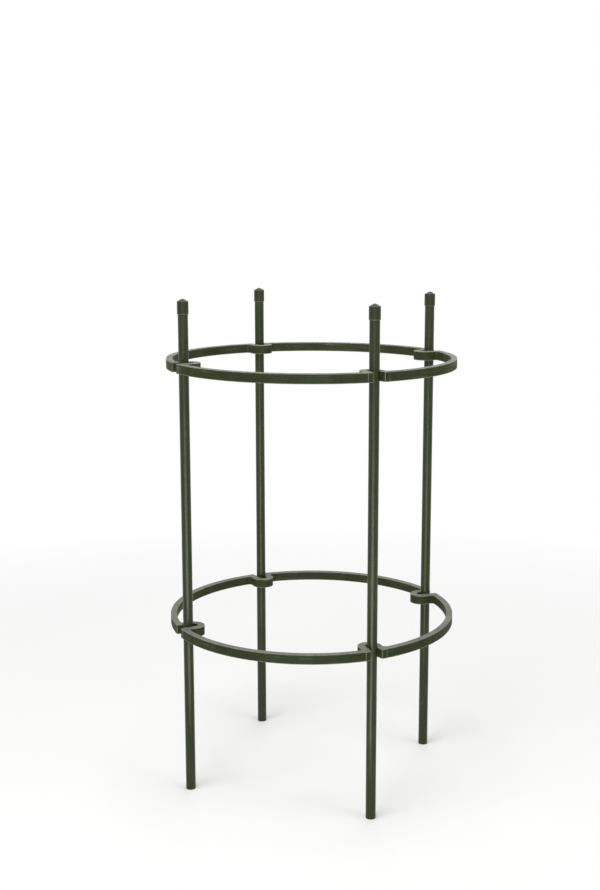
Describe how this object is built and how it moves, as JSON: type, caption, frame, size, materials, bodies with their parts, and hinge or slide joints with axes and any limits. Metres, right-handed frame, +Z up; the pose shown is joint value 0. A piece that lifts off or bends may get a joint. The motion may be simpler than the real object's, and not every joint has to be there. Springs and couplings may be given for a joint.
{
  "type": "plant support ring stake",
  "caption": "Garden plant support: upright plastic-coated steel stakes with push-on caps and ground points, held in the side pockets of open rings that slide to any height.",
  "frame": {"origin": "on the middle axis of the rings, level with the tips of the stakes", "axes": "+Z up along the stakes, -Y towards the front stake, +X towards the right stake"},
  "size_m": [0.356, 0.356, 0.762],
  "materials": {
    "ring_plastic": "satin, dark olive",
    "stake_coat": "satin, dark olive",
    "moulded_plastic": "satin, dark olive",
    "steel_tube": "drawn, unpolished"
  },
  "bodies": {
    "right_stake": {"right_stake_tube": "steel_tube", "right_stake_coat": "stake_coat", "right_stake_cap": "moulded_plastic", "right_stake_point": "moulded_plastic"},
    "back_stake": {"back_stake_tube": "steel_tube", "back_stake_coat": "stake_coat", "back_stake_cap": "moulded_plastic", "back_stake_point": "moulded_plastic"},
    "left_stake": {"left_stake_tube": "steel_tube", "left_stake_coat": "stake_coat", "left_stake_cap": "moulded_plastic", "left_stake_point": "moulded_plastic"},
    "front_stake": {"front_stake_tube": "steel_tube", "front_stake_coat": "stake_coat", "front_stake_cap": "moulded_plastic", "front_stake_point": "moulded_plastic"},
    "lower_ring": {"lower_ring": "ring_plastic"},
    "upper_ring": {"upper_ring": "ring_plastic"}
  },
  "joints": [
    {"name": "upper_ring_slide", "type": "slide", "parent": "front_stake", "child": "upper_ring", "axis": [0, 0, 1], "range_m": [-0.15, 0.025]},
    {"name": "lower_ring_slide", "type": "slide", "parent": "front_stake", "child": "lower_ring", "axis": [0, 0, 1], "range_m": [-0.18, 0.15]},
    {"name": "right_stake_slide", "type": "slide", "parent": "front_stake", "child": "right_stake", "axis": [0, 0, 1], "range_m": [-0.03, 0.12]},
    {"name": "back_stake_slide", "type": "slide", "parent": "front_stake", "child": "back_stake", "axis": [0, 0, 1], "range_m": [-0.03, 0.12]},
    {"name": "left_stake_slide", "type": "slide", "parent": "front_stake", "child": "left_stake", "axis": [0, 0, 1], "range_m": [-0.03, 0.12]}
  ]
}
